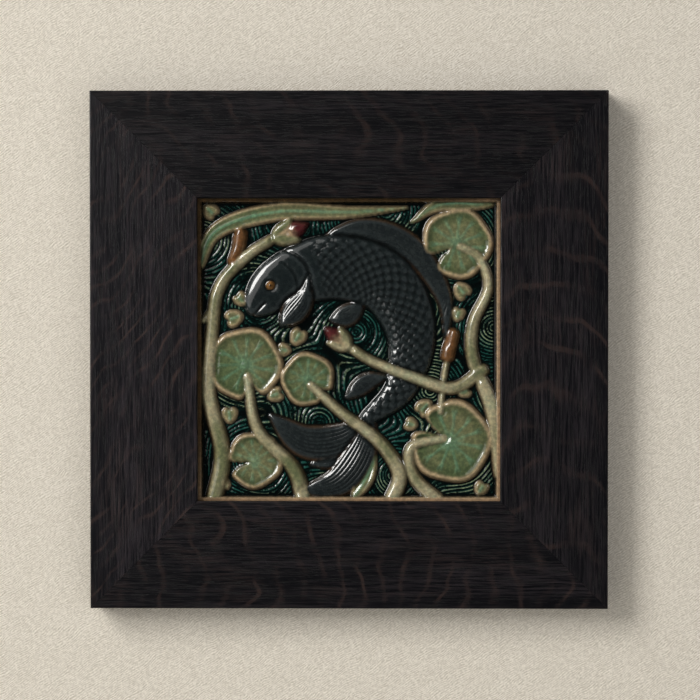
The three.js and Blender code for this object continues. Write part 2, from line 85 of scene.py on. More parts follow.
# Finer relief, in millimetres. A pair is where something starts and where it is whole.
RIPPLE_PITCH = 2.25
RIPPLE_HEIGHT = 0.85
RIPPLE_BEND = 2.2
RIPPLE_SHARPNESS = 1.5
RIPPLE_MERGE = 6
RIPPLE_SHORE = (0.7, 2.2)
STEADY_SLOPE = (0.05, 0.16)
LEAST_SLOPE = 0.02
STROKE_SEED = 31
STROKE_REACH = 8
STROKE_SPAN = (-1.3, 1.0)
TRENCH_DEPTH = 1.2
TRENCH_WIDTH = 1.5
SCALE_PITCH = 6.4
SCALE_LIFT = 0.5


# Camera and light. The camera's turn is to the right, and the shift is that of the photograph's middle.
PHOTO_PIXELS = 700
PIXELS_PER_METRE = 1539.0
CAMERA_DISTANCE = 1.6
CAMERA_RISE = math.radians(1.2)
CAMERA_TURN = math.radians(0.8)
PHOTO_CENTRE_SHIFT = Vector((0.0008, 0.0, 0.0))


def add_camera():
    """The photograph's camera: square on to the picture, a little above and to the right of its middle. The
    photograph's width of pixels covers the real width that they show at the frame's front."""
    data = bpy.data.cameras.new("camera")
    camera = bpy.data.objects.new("camera", data)
    bpy.context.scene.collection.objects.link(camera)
    target = Vector((TILE_CENTRE.x, FRONT_Y, TILE_CENTRE.z)) + PHOTO_CENTRE_SHIFT
    away = Vector((math.sin(CAMERA_TURN), -math.cos(CAMERA_TURN), math.sin(CAMERA_RISE)))
    camera.location = target + away.normalized() * CAMERA_DISTANCE
    camera.rotation_euler = (target - camera.location).to_track_quat("-Z", "Y").to_euler()
    data.lens = data.sensor_width * CAMERA_DISTANCE * PIXELS_PER_METRE / PHOTO_PIXELS
    bpy.context.scene.camera = camera


def add_softbox(name, towards, distance, width, height, power, colour):
    """A softbox in the given direction from the picture's middle, turned to face it."""
    data = bpy.data.lights.new(name, "AREA")
    data.shape = "RECTANGLE"
    data.size, data.size_y = width, height
    data.energy = power
    data.color = colour
    light = bpy.data.objects.new(name, data)
    bpy.context.scene.collection.objects.link(light)
    light.location = TILE_CENTRE + Vector(towards).normalized() * distance
    light.rotation_euler = (TILE_CENTRE - light.location).to_track_quat("-Z", "Y").to_euler()
    light.visible_camera = False
    return light


# For each light: the way to it from the picture, its distance, width, height, power and colour
LIGHTS = {
    "window_light": ((-1.05, -1.0, 0.7), 3.3, 1.1, 1.9, 80.0, (1.0, 0.985, 0.96)),
    "window_glow": ((-1.05, -1.0, 0.7), 3.4, 3.3, 3.8, 37.0, (1.0, 0.98, 0.945)),
    "fill_light": ((0.5, -1.0, -0.1), 2.6, 2.4, 2.4, 20.0, (0.97, 0.98, 1.0)),
    "back_light": ((0.5, 1.0, 0.6), 2.0, 1.2, 1.2, 60.0, (1.0, 0.98, 0.95)),
}
ROOM_COLOUR = (0.92, 0.95, 1.0, 1.0)
ROOM_GLOW = 0.015
BACKDROP_GLOW = 0.5


def add_lights():
    """A tall window high on the left with a wider glow round it, a dimmer fill from the front that only matt
    surfaces take up, and a lamp behind the wall for views of the back. The room in front stays dark, so flat
    glaze keeps its depth, but looked at past the wall it is pale."""
    lights = {name: add_softbox(name, *values) for name, values in LIGHTS.items()}
    lights["fill_light"].visible_glossy = False
    world = bpy.data.worlds.new("studio")
    world.use_nodes = True
    t = Tree(world.node_tree)
    seen = t.node("ShaderNodeLightPath").outputs["Is Camera Ray"]
    background = world.node_tree.nodes["Background"]
    t.put(background, "Color", ROOM_COLOUR)
    t.put(background, "Strength", t.plus(ROOM_GLOW, t.times(seen, BACKDROP_GLOW)))
    bpy.context.scene.world = world
    bpy.context.scene.view_settings.view_transform = "Standard"


# Node helpers


class Tree:
    """Short words for building a node tree."""

    def __init__(self, tree):
        self.tree = tree

    def node(self, kind, settings=None, **inputs):
        """A node with the given settings. An input is a value, or a socket to link."""
        node = self.tree.nodes.new(kind)
        for name, value in (settings or {}).items():
            setattr(node, name, value)
        for name, value in inputs.items():
            self.put(node, name.replace("_", " "), value)
        return node

    def put(self, node, name, value):
        """Sets or links an input, given by its name or by its number, as in i0 and i1."""
        numbered = name[0] == "i" and name[1:].isdigit()
        socket = node.inputs[int(name[1:])] if numbered else node.inputs[name]
        if isinstance(value, bpy.types.NodeSocket):
            self.tree.links.new(value, socket)
        else:
            socket.default_value = value

    def math(self, operation, a, b=0.0):
        """A function of one or two values."""
        return self.node("ShaderNodeMath", {"operation": operation}, i0=a, i1=b).outputs[0]

    def times(self, a, b):
        """The product of two values."""
        return self.math("MULTIPLY", a, b)

    def plus(self, a, b):
        """The sum of two values."""
        return self.math("ADD", a, b)

    def mix(self, share, a, b, blend="MIX"):
        """Two colours mixed by a share."""
        settings = {"data_type": "RGBA", "blend_type": blend}
        return self.node("ShaderNodeMix", settings, i0=share, i6=a, i7=b).outputs[2]

    def smooth(self, value, low, high):
        """0 at low, 1 at high, smooth between."""
        settings = {"interpolation_type": "SMOOTHSTEP"}
        return self.node("ShaderNodeMapRange", settings, i0=value, i1=low, i2=high).outputs[0]

    def noise(self, vector, scale, detail=2.0, rough=0.5):
        """Smooth noise round a half, with the given number of cells to one unit of the vector."""
        node = self.node("ShaderNodeTexNoise", Vector=vector, Scale=scale, Detail=detail, Roughness=rough)
        return node.outputs[0]

    def stretch(self, vector, scale):
        """The vector with each part multiplied."""
        return self.node("ShaderNodeVectorMath", {"operation": "MULTIPLY"}, i0=vector, i1=scale).outputs[0]

    def shift(self, vector, by):
        """The vector with another added to it."""
        return self.node("ShaderNodeVectorMath", {"operation": "ADD"}, i0=vector, i1=by).outputs[0]

    def place(self):
        """The place on the object, in metres."""
        return self.node("ShaderNodeTexCoord").outputs["Object"]

    def bump(self, strength, distance, height):
        """A normal tilted by the slope of a height, which stands for the given distance in metres."""
        node = self.node("ShaderNodeBump", Strength=strength, Distance=distance, Height=height)
        return node.outputs[0]


def new_material(name):
    """A material with one Principled BSDF, and its tree."""
    material = bpy.data.materials.new(name)
    material.use_nodes = True
    shader = material.node_tree.nodes["Principled BSDF"]
    return material, Tree(material.node_tree), shader


GRAIN_INPUTS = ("Fleck Pitch", "Arch", "Lean", "Wander", "Cover")
GRAIN_OUTPUTS = ("Streaks", "Pores", "Growth", "Flecks")

# For each noise in the oak: how many of its cells lie in a metre along the grain, across it and into the
# wood, how far it is moved so that it doesn't fall together with another, its detail and its roughness
GRAIN_NOISES = {
    "streaks": ((48.0, 1050.0, 300.0), (0.0, 0.0, 0.0), 3.0, 0.6),
    "pores": ((80.0, 1500.0, 400.0), (7.0, 3.0, 1.0), 2.0, 0.6),
    "growth": ((5.0, 75.0, 40.0), (0.0, 0.0, 0.0), 3.0, 0.5),
    "bend": ((14.0, 26.0, 8.0), (0.0, 0.0, 0.0), 2.0, 0.5),
    "breaks": ((55.0, 34.0, 30.0), (2.0, 9.0, 4.0), 2.0, 0.5),
    "width": ((20.0, 20.0, 20.0), (5.0, 2.0, 8.0), 2.0, 0.5),
    "clouds": ((26.0, 80.0, 30.0), (3.0, 6.0, 2.0), 2.0, 0.5),
}
THINNEST_FLECK = 0.02
SHIMMER = 0.42


def grain_group():
    """Quartersawn oak on coordinates that run along the grain, across it and into the wood.

    Streaks and pores are noises stretched along the grain. Growth is a broad noise stretched further. Ray
    flecks are thin lines of a sine whose phase runs along the grain, bent by an arch, a lean and a noise.
    Another noise breaks them up and thins them towards their ends. A wider and fainter crest of the same
    sine and the clouds of one more noise, both broken up by the streaks, give them a soft shimmer.
    """
    tree = bpy.data.node_groups.new("oak grain", "ShaderNodeTree")
    tree.interface.new_socket("Vector", in_out="INPUT", socket_type="NodeSocketVector")
    for way, labels in (("INPUT", GRAIN_INPUTS), ("OUTPUT", GRAIN_OUTPUTS)):
        for label in labels:
            tree.interface.new_socket(label, in_out=way, socket_type="NodeSocketFloat")
    t = Tree(tree)
    given, out = t.node("NodeGroupInput"), t.node("NodeGroupOutput")
    vector = given.outputs["Vector"]
    axes = t.node("ShaderNodeSeparateXYZ", Vector=vector)
    along, across = axes.outputs[0], axes.outputs[1]

    streaks, pores, growth, bend, breaks, width, clouds = (
        t.noise(t.shift(t.stretch(vector, cells), moved), 1.0, detail, rough)
        for cells, moved, detail, rough in GRAIN_NOISES.values()
    )

    phase = t.math("DIVIDE", along, given.outputs["Fleck Pitch"])
    arch = t.times(t.times(across, across), given.outputs["Arch"])
    lean = t.times(across, given.outputs["Lean"])
    wander = t.times(bend, given.outputs["Wander"])
    for bent in (arch, lean, wander):
        phase = t.plus(phase, bent)
    wave = t.math("SINE", t.times(phase, math.tau))
    gate = t.math("SUBTRACT", breaks, t.math("SUBTRACT", 1.0, given.outputs["Cover"]))
    shown = t.smooth(gate, -0.04, 0.14)
    thickness = t.plus(THINNEST_FLECK, t.times(t.times(width, shown), 0.6))
    line = t.smooth(wave, t.math("SUBTRACT", 1.0, thickness), 1.0)

    flecks = t.times(line, t.smooth(gate, -0.04, 0.3))
    halo = t.times(t.smooth(wave, 0.1, 1.0), t.smooth(gate, -0.12, 0.1))
    soft = t.math("MAXIMUM", halo, t.smooth(clouds, 0.52, 0.7))
    shimmer = t.times(t.times(soft, SHIMMER), t.smooth(streaks, 0.38, 0.6))

    t.put(out, "Streaks", streaks)
    t.put(out, "Pores", t.smooth(pores, 0.54, 0.66))
    t.put(out, "Growth", growth)
    t.put(out, "Flecks", t.math("MAXIMUM", flecks, shimmer))
    return tree


GRAIN = grain_group()

# For each rail: the axes that run along, across and into it, its flecks' pitch, arch, lean, wander and
# cover, how strongly they show, and how light its stained wood is made, partly each board's own tone and
# partly painted light that makes the left stile, on the window's side, the lightest
RAIL_FIGURE = {
    "frame_rail_top": ("XZY", 0.018, 120.0, 26.0, 3.2, 0.53, 0.6, 0.74),
    "frame_rail_bottom": ("XZY", 0.0145, 430.0, 12.0, 2.8, 0.59, 0.7, 0.86),
    "frame_stile_left": ("ZXY", 0.0135, 60.0, -80.0, 3.6, 0.555, 0.62, 1.28),
    "frame_stile_right": ("ZXY", 0.024, 560.0, 5.0, 1.8, 0.585, 0.52, 1.0),
}
OAK_DARK = (0.003, 0.003, 0.0044, 1.0)
OAK_LIGHT = (0.0225, 0.0182, 0.0215, 1.0)
OAK_FLECK = (0.046, 0.028, 0.024, 1.0)
OAK_PORE = (0.001, 0.001, 0.0012, 1.0)
BETWEEN_RAILS = 0.7


def oak_material(name):
    """Black-stained oak for one rail, with the grain along it. Each rail is another length of one wood."""
    order, *figure, strength, tone_and_painted_light = RAIL_FIGURE[name]
    low, high = (Vector(corner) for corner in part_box(name))
    material, t, shader = new_material(f"black_oak_{name}")
    place = t.place()
    middle = t.shift(place, tuple(-(low + high) / 2))
    parts = t.node("ShaderNodeSeparateXYZ", Vector=middle)
    along, across, depth = (parts.outputs["XYZ".index(axis)] for axis in order)
    vector = t.node("ShaderNodeCombineXYZ", X=along, Y=across, Z=depth).outputs[0]
    offset = t.shift(vector, (BETWEEN_RAILS * list(RAIL_FIGURE).index(name), 0.0, 0.0))
    grain = t.node("ShaderNodeGroup", {"node_tree": GRAIN}, Vector=offset)
    for label, value in zip(GRAIN_INPUTS, figure):
        t.put(grain, label, value)
    streaks, pores, growth, flecks = (grain.outputs[label] for label in GRAIN_OUTPUTS)

    tone = t.times(t.smooth(streaks, 0.34, 0.7), t.smooth(growth, 0.25, 0.7))
    colour = t.mix(tone, OAK_DARK, OAK_LIGHT)
    colour = t.mix(t.times(flecks, strength), colour, OAK_FLECK)
    colour = t.mix(t.times(pores, 0.85), colour, OAK_PORE)
    # Each rail's tone, which also holds painted light: the left stile is made lightest
    colour = t.stretch(colour, (tone_and_painted_light, tone_and_painted_light, tone_and_painted_light))
    t.put(shader, "Base Color", colour)
    t.put(shader, "Specular IOR Level", 0.38)
    sheen = t.plus(0.27, t.times(streaks, 0.14))
    t.put(shader, "Roughness", t.plus(sheen, t.times(pores, 0.32)))
    height = t.math("SUBTRACT", t.times(streaks, 0.35), t.times(pores, 0.65))
    t.put(shader, "Normal", t.bump(0.28, 0.0003, height))
    return material


# Colours, and cells of noise to a metre
BOARD_DARK = (0.06, 0.03, 0.014, 1.0)
BOARD_LIGHT = (0.15, 0.085, 0.042, 1.0)
BOARD_STAIN = (0.075, 0.043, 0.023, 1.0)
ZINC_DULL = (0.42, 0.41, 0.37, 1.0)
ZINC_BRIGHT = (0.68, 0.67, 0.62, 1.0)
FIBRE_CELLS = (900.0, 900.0, 260.0)
SCRATCH_CELLS = (2400.0, 2400.0, 500.0)


def board_material():
    """Brown hardboard: fine matted fibres over a mottled ground, darker where it was handled."""
    material, t, shader = new_material("hardboard")
    place = t.place()
    fibres = t.noise(t.stretch(place, FIBRE_CELLS), 1.0, detail=4.0, rough=0.65)
    mottle = t.noise(place, 24.0, detail=3.0)
    colour = t.mix(t.smooth(fibres, 0.3, 0.7), BOARD_DARK, BOARD_LIGHT)
    colour = t.mix(t.times(t.smooth(mottle, 0.45, 0.7), 0.5), colour, BOARD_STAIN)
    t.put(shader, "Base Color", colour)
    t.put(shader, "Roughness", t.plus(0.55, t.times(fibres, 0.3)))
    t.put(shader, "Normal", t.bump(0.35, 0.0002, fibres))
    return material


def screw_material():
    """Zinc plate: cloudy grey metal with fine scratches and a little dullness."""
    material, t, shader = new_material("zinc_screw")
    place = t.place()
    clouds = t.noise(place, 700.0, detail=3.0)
    scratches = t.noise(t.stretch(place, SCRATCH_CELLS), 1.0)
    t.put(shader, "Base Color", t.mix(clouds, ZINC_DULL, ZINC_BRIGHT))
    t.put(shader, "Metallic", 1.0)
    t.put(shader, "Roughness", t.plus(0.28, t.times(scratches, 0.25)))
    t.put(shader, "Normal", t.bump(0.2, 0.0001, scratches))
    return material


def dress_solids():
    """Gives the solids that stay in sight their finishes."""
    finishes = {name: oak_material(name) for name in RAIL_FIGURE}
    finishes["back_board"] = board_material()
    zinc = screw_material()
    for name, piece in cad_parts.items():
        finish = zinc if "screw" in name else finishes.get(name)
        if finish:
            piece.data.materials.clear()
            piece.data.materials.append(finish)


# Tile relief


def smoothstep(value, low, high):
    """0 at low, 1 at high, with a smooth S between."""
    share = np.clip((value - low) / (high - low), 0.0, 1.0)
    return share * share * (3 - 2 * share)


CURVE_STEPS = 40
CURVE_POINTS = 110
WIDTH_TRIES = 50
TIP_WIDTH = 0.004
LENS_POWER = 0.85
CAPSULE_POWER = 8
BODY_FLATNESS = 2.4


def smooth_curve(path):
    """A Catmull-Rom curve through the path's points, with evenly spaced points along it."""
    p = np.asarray(path, float)
    p = np.vstack([2 * p[0] - p[1], p, 2 * p[-1] - p[-2]])
    t = np.linspace(0, 1, CURVE_STEPS, endpoint=False)[:, None]
    pieces = [
        0.5 * (2 * b + (c - a) * t + (2 * a - 5 * b + 4 * c - d) * t**2 + (3 * b - a - 3 * c + d) * t**3)
        for a, b, c, d in zip(p[:-3], p[1:-2], p[2:-1], p[3:])
    ]
    dense = np.vstack([*pieces, p[-2][None]])
    gone = np.concatenate([[0], np.cumsum(np.hypot(*np.diff(dense, axis=0).T))])
    even = np.linspace(0, gone[-1], CURVE_POINTS)
    return np.stack([np.interp(even, gone, dense[:, i]) for i in (0, 1)], axis=1)


def lens(widest, at=0.5):
    """A width that swells from a point to its widest and back, as a power of a sine."""
    bend = math.log(0.5) / math.log(at)
    return lambda t: TIP_WIDTH + widest * np.sin(np.pi * np.clip(t, 0, 1) ** bend) ** LENS_POWER


def taper(start, end):
    """A width that changes evenly from one end to the other."""
    return lambda t: start + (end - start) * t


def capsule(width):
    """One width with rounded ends, as the root of one minus a high power of the way from the middle."""
    return lambda t: TIP_WIDTH + width * np.sqrt(1 - (2 * t - 1) ** CAPSULE_POWER)


def fish_body(widest, root):
    """A blunt head and a long narrowing tail: a power of the way gone times a power of the way left."""
    rise, fall = 0.5, 1.1
    at = rise / (rise + fall)
    return lambda t: TIP_WIDTH + widest * (t / at) ** rise * ((1 - t) / (1 - at)) ** fall + root * t


def level(height):
    """One height all along."""
    return lambda t: np.full_like(t, height)


def swell(height, top, at, reach):
    """One height, swelling to another round one place along the way."""
    return lambda t: height + (top - height) * smoothstep(1 - np.abs(t - at) / reach, 0, 1)


def steps(places, values):
    """Straight lines between the given values at the given places."""
    return lambda t: np.interp(t, places, values)


# Sections across a form, from 1 at its crest to 0 at its edge
SECTIONS = {
    "round": lambda s: np.sqrt(np.clip(1 - s**2, 0, 1)),
    "body": lambda s: np.clip(1 - s**BODY_FLATNESS, 0, 1) ** 0.5,
    "fin": steps([0, 0.85, 1], [1, 0.7, 0.12]),
    "blade": steps([0, 0.16, 0.4, 0.7, 0.82, 0.93, 1], [0.95, 0.72, 0.55, 0.8, 1, 0.8, 0.12]),
}

# Cells in millimetres and seeds of the noises in glazes, ripples and veins, and their lattice's side
BROAD_CLOUD = (22, 3)
FINE_CLOUD = (1.6, 5)
BEND_CLOUD = (26, 11)
VEIN_CLOUD = (9, 41)
LATTICE = 256

# Glazes, each with its number
GROUND, STEM, BLADE, PAD, FIN, BODY, BUD, SEPAL, BULRUSH, EYE, RIM, LEAFLET = range(12)

# How far round a form the ground is changed, in shares of the field, and a distance beyond all others
FORM_MARGIN = 0.16
FAR_MM = 99.0


class Relief:
    """The picture as it is built up: at each point of the grid its height, the fine relief on top of that,
    the glaze on it, and where that point lies on its form. That is a share across, from 0 in the middle to 1
    at the edge, a signed distance to its side, or on a leaf how much of a vein it has, and a share along.
    Shore is the distance to the nearest form, and phase and stroke are those of the ripples."""

    def __init__(self, x, y):
        """Bare ground at places given in millimetres from the middle."""
        self.x, self.y = x, y
        self.u, self.v = x / FIELD_HALF_MM, y / FIELD_HALF_MM
        for name in ("height", "fine", "across", "side", "along", "phase", "stroke"):
            setattr(self, name, np.zeros_like(x))
        self.glaze = np.full(x.shape, GROUND)
        self.shore = np.full(x.shape, FAR_MM)

    def cloud(self, cell, seed, shift=100, octaves=2):
        """Smooth noise from 0 to 1: random values on a lattice with the given cell, blended by smoothsteps,
        with each further octave at half the cell and half the weight."""
        x, y = self.x + shift, self.y + shift
        total = np.zeros_like(x)
        weight = 0.0
        for octave in range(octaves):
            size = cell / 2**octave
            lattice = np.random.default_rng(seed + octave).random((LATTICE, LATTICE))
            i, j = np.floor(x / size).astype(int), np.floor(y / size).astype(int)
            fx, fy = smoothstep(x / size - i, 0, 1), smoothstep(y / size - j, 0, 1)
            corner = [[lattice[(i + a) % LATTICE, (j + b) % LATTICE] for b in (0, 1)] for a in (0, 1)]
            low = corner[0][0] * (1 - fx) + corner[1][0] * fx
            high = corner[0][1] * (1 - fx) + corner[1][1] * fx
            total += (low * (1 - fy) + high * fy) / 2**octave
            weight += 1 / 2**octave
        return total / weight

    def nearest(self, path, reach):
        """Where each point lies by the path: a mask of those within reach, and for them the share along it,
        the signed distance to its left and the distance from it, in shares of the field."""
        curve = smooth_curve(path)
        low, high = curve.min(axis=0) - reach, curve.max(axis=0) + reach
        near = (self.u > low[0]) & (self.u < high[0]) & (self.v > low[1]) & (self.v < high[1])
        points = np.stack([self.u[near], self.v[near]], axis=1).astype(np.float32)
        ways = points[:, None, :] - curve[None].astype(np.float32)
        best = np.argmin((ways**2).sum(axis=2), axis=1)
        tangent = np.gradient(curve, axis=0)
        pace = np.hypot(*tangent.T)
        tangent = tangent / pace[:, None]
        way = points - curve[best]
        ahead = (way * tangent[best]).sum(axis=1)
        side = tangent[best, 0] * way[:, 1] - tangent[best, 1] * way[:, 0]
        past = ((best == 0) & (ahead < 0)) | ((best == len(curve) - 1) & (ahead > 0))
        distance = np.where(past, np.hypot(ahead, side), np.abs(side))
        along = np.clip((best + ahead / pace[best]) / (len(curve) - 1), 0, 1)
        return near, along, side, distance

    def around(self, centre, reach, heading_deg):
        """Where each point lies round a centre: a mask of those within reach, and for them the distance, in
        shares of the field, and the turn from the heading."""
        du, dv = self.u - centre[0], self.v - centre[1]
        distance = np.hypot(du, dv)
        near = distance < reach
        turn = np.angle(np.exp(1j * (np.arctan2(dv, du) - math.radians(heading_deg))))
        return near, distance[near], turn[near]

    def lay(self, near, form, across, side, along, edge, glaze, fine=0.0):
        """Lays a form over what is there, which sinks into a trench under it and beside its edge, by a bell
        curve of the distance to that."""
        beside = np.clip(edge, 0, None) / TRENCH_WIDTH
        below = self.height[near] - TRENCH_DEPTH * np.exp(-(beside**2))
        over = (edge < 0) & (form > below)
        self.height[near] = np.where(over, form, below)
        fields = (self.glaze, self.across, self.side, self.along, self.fine)
        for field, value in zip(fields, (glaze, across, side, along, fine)):
            field[near] = np.where(over, value, field[near])
        self.shore[near] = np.minimum(self.shore[near], edge)

    def carry(self, path, section, width, crest, glaze, detail=None):
        """Lays a form whose section is carried along a path."""
        reach = FORM_MARGIN + max(width(np.linspace(0, 1, WIDTH_TRIES)))
        near, along, side, distance = self.nearest(path, reach)
        half = width(along)
        across = np.clip(distance / half, 0, 1)
        form = crest(along) * SECTIONS[section](across)
        fine = detail(across, side, along) if detail else 0.0
        edge = (distance - half) * FIELD_HALF_MM
        self.lay(near, form, across, side * FIELD_HALF_MM, along, edge, glaze, fine)


PAD_NOTCH_DEPTH = 0.8
PAD_NOTCH_SPREAD = 0.2
PAD_WAVES = 5
PAD_WAVE_DEPTH = 0.035
PAD_RISE = steps([0, 0.12, 0.78, 0.92, 1], [0.8, 0.5, 0.55, 1, 0.15])
PAD_VEINS = 11
PAD_VEIN_LIFT = 0.3
PAD_VEIN_BEND = 0.16
PAD_VEIN_FORK = 0.36
LEAFLET_RISE = steps([0, 0.5, 0.8, 1], [0.78, 0.66, 1, 0.2])
LEAFLET_NOTCH_DEPTH = 0.6
LEAFLET_NOTCH_SPREAD = 0.5
LEAFLET_TIP = 0.3
LEAFLET_TIP_SPREAD = 0.6
LEAFLET_RIB_LIFT = 0.35
LEAFLET_REACH = 1.4
LEAFLET_MARGIN = 0.06


def lay_pad(relief, centre, radius, notch_deg):
    """A lily pad: round with a notch, where its radius dips by a bell curve, and a wavy, turned-up edge. Its
    raised veins are crests of a cosine round its centre, bent by a slow noise, and each forks halfway."""
    near, distance, turn = relief.around(centre, radius + FORM_MARGIN, notch_deg)
    reach = radius * (1 - PAD_NOTCH_DEPTH * np.exp(-((turn / PAD_NOTCH_SPREAD) ** 2)))
    reach = reach * (1 + PAD_WAVE_DEPTH * np.cos(PAD_WAVES * turn))
    across = np.clip(distance / reach, 0, 1)
    bent = turn + PAD_VEIN_BEND * (relief.cloud(*VEIN_CLOUD, shift=400)[near] - 0.5)
    fork = PAD_VEIN_FORK * smoothstep(across, 0.42, 0.85)
    ribs = np.maximum(np.cos(PAD_VEINS * bent + 2 * fork), np.cos(PAD_VEINS * bent - 2 * fork))
    vein = smoothstep(ribs, 0.82 + 0.12 * across, 1)
    vein = vein * smoothstep(across, 0.02, 0.12) * smoothstep(across, 0.86, 0.7)
    edge = (distance - reach) * FIELD_HALF_MM
    relief.lay(near, PAD_CREST * PAD_RISE(across), across, vein, turn, edge, PAD, PAD_VEIN_LIFT * vein)


def lay_leaflet(relief, centre, radius, notch_deg):
    """A small floating leaf, shaped like a heart: round, its radius dipping by a bell curve at the notch and
    rising by another at the tip across from it. Its edge is turned up and its midrib raised."""
    near, distance, turn = relief.around(centre, LEAFLET_REACH * radius + LEAFLET_MARGIN, notch_deg)
    reach = radius * (1 - LEAFLET_NOTCH_DEPTH * np.exp(-((turn / LEAFLET_NOTCH_SPREAD) ** 2)))
    reach = reach * (1 + LEAFLET_TIP * np.exp(-(((np.pi - abs(turn)) / LEAFLET_TIP_SPREAD) ** 2)))
    across = np.clip(distance / reach, 0, 1)
    rib = smoothstep(abs(distance * np.sin(turn)) / radius, 0.2, 0.04) * smoothstep(across, 0.95, 0.7)
    edge = (distance - reach) * FIELD_HALF_MM
    form = LEAFLET_CREST * LEAFLET_RISE(across)
    relief.lay(near, form, across, rib, turn, edge, LEAFLET, LEAFLET_RIB_LIFT * rib)


# Fins and skin: heights in millimetres, places along the body as shares of its length. Each line in the
# skin has its place and its width.
FIN_RAYS = 4.5
FIN_RAY_HEIGHT = 0.28
BODY_LENGTH = 2.05
SCALE_WIDTH = 0.55
SCALE_BOW = 1.1
SCALES_START = (0.245, 0.285)
GILL = (0.235, 0.006)
CHEEK = (0.19, 0.005)
MOUTH = (-0.035, 0.011)
GILL_BOW = 0.05
GILL_DEPTH = 0.8
MOUTH_DEPTH = 0.9


def fin_rays(across, side, along):
    """Rays that fan out along a fin, as a cosine of the place across it."""
    shown = smoothstep(along, 0.05, 0.3) * smoothstep(along, 1.0, 0.85) * smoothstep(across, 1.0, 0.8)
    return FIN_RAY_HEIGHT * np.cos(across * FIN_RAYS * math.tau) * shown


def groove(value, at, width):
    """1 on a line where the value is at the given place, falling off by a bell curve."""
    return np.exp(-(((value - at) / width) ** 2))


def carp_skin(across, side, along):
    """Overlapping scales in offset rows, each lifted towards its hind edge, from the gills to the tail, with
    the curved edge of the gill cover, a second line in front of it and a mouth cut in as grooves."""
    row = side * FIELD_HALF_MM / (SCALE_PITCH * SCALE_WIDTH)
    lane = np.round(row)
    way = along * (BODY_LENGTH * FIELD_HALF_MM) / SCALE_PITCH + 0.5 * (lane % 2)
    cell = np.mod(way + SCALE_BOW * (row - lane) ** 2, 1.0)
    lift = SCALE_LIFT * (smoothstep(cell, 0.0, 0.85) - smoothstep(cell, 0.85, 1.0) - 0.5)
    scales = lift * smoothstep(along, *SCALES_START) * smoothstep(across, 0.97, 0.85)
    bow = along + GILL_BOW * across**2
    gill = groove(bow, *GILL)
    cheek = 0.5 * groove(bow, *CHEEK) * smoothstep(across, 0.75, 0.5)
    mouth = groove(side, *MOUTH) * smoothstep(along, 0.075, 0.05)
    return scales - GILL_DEPTH * (gill + cheek) - MOUTH_DEPTH * mouth


CARP_HALF_WIDTH = 0.2
TAIL_ROOT_WIDTH = 0.05
CARP_PATH = [
    (-0.68, 0.25), (-0.46, 0.45), (-0.1, 0.56), (0.25, 0.45), (0.42, 0.12), (0.35, -0.25), (0.12, -0.47),
]
CARP_FINS = [
    ([(-0.22, 0.7), (0.1, 0.8), (0.42, 0.68), (0.64, 0.36), (0.66, 0.04)], lens(0.09, 0.36)),
    ([(0.12, 0.36), (0.0, 0.24), (-0.13, 0.2)], lens(0.07, 0.6)),
    ([(0.27, -0.18), (0.12, -0.22), (-0.02, -0.33)], lens(0.06, 0.55)),
    ([(0.16, -0.42), (-0.02, -0.66), (-0.26, -0.78)], lens(0.1, 0.6)),
    ([(0.16, -0.42), (-0.04, -0.6), (-0.3, -0.62), (-0.54, -0.44)], lens(0.115)),
    ([(0.16, -0.42), (0.08, -0.7), (-0.08, -0.9), (-0.34, -0.96)], lens(0.11)),
]
FLANK_FIN = ([(-0.27, 0.5), (-0.31, 0.34), (-0.46, 0.16)], lens(0.085, 0.62))
EYE_PLACE = (-0.53, 0.435)
EYE_SEAT = 0.9


def lay_carp(relief):
    """The back, belly and tail fins, the body over them, and the flank's fin on top."""
    fall = steps([0, 0.8, 1], [FIN_CREST, FIN_CREST, 0.5 * FIN_CREST])
    for path, width in CARP_FINS:
        relief.carry(path, "fin", width, fall, FIN, fin_rays)
    crest = steps([0, 0.12, 0.6, 1], [NOSE_CREST, BODY_CREST, BODY_CREST, FIN_CREST])
    width = fish_body(CARP_HALF_WIDTH, TAIL_ROOT_WIDTH)
    relief.carry(CARP_PATH, "body", width, crest, BODY, carp_skin)
    path, width = FLANK_FIN
    relief.carry(path, "fin", width, level(FLANK_FIN_CREST), FIN, fin_rays)


def lay_eye(relief):
    """The upper part of a ball that sits in the head."""
    distance = np.hypot(relief.u - EYE_PLACE[0], relief.v - EYE_PLACE[1]) * FIELD_HALF_MM
    near = distance < 3 * EYE_RADIUS
    distance = distance[near]
    form = BODY_CREST * EYE_SEAT + np.sqrt(np.clip(EYE_RADIUS**2 - distance**2, 0, None))
    across = np.clip(distance / EYE_RADIUS, 0, 1)
    relief.lay(near, form, across, distance, distance, distance - EYE_RADIUS, EYE)


# Each pad and leaflet: its middle, its radius and the turn of its notch in degrees
PADS = [
    ((0.73, 0.72), 0.24, 215),
    ((-0.7, -0.1), 0.25, 282),
    ((0.69, -0.62), 0.28, 150),
    ((-0.28, -0.2), 0.18, 318),
    ((-0.64, -0.75), 0.19, 195),
]
TO_PAD = steps([0, 0.75, 1], [STEM_CREST, STEM_CREST, HUB_CREST])
OVER_TAIL = steps([0, 0.3, 0.55, 0.8, 1], [STEM_CREST, STEM_CREST, BODY_CREST, STEM_CREST, HUB_CREST])

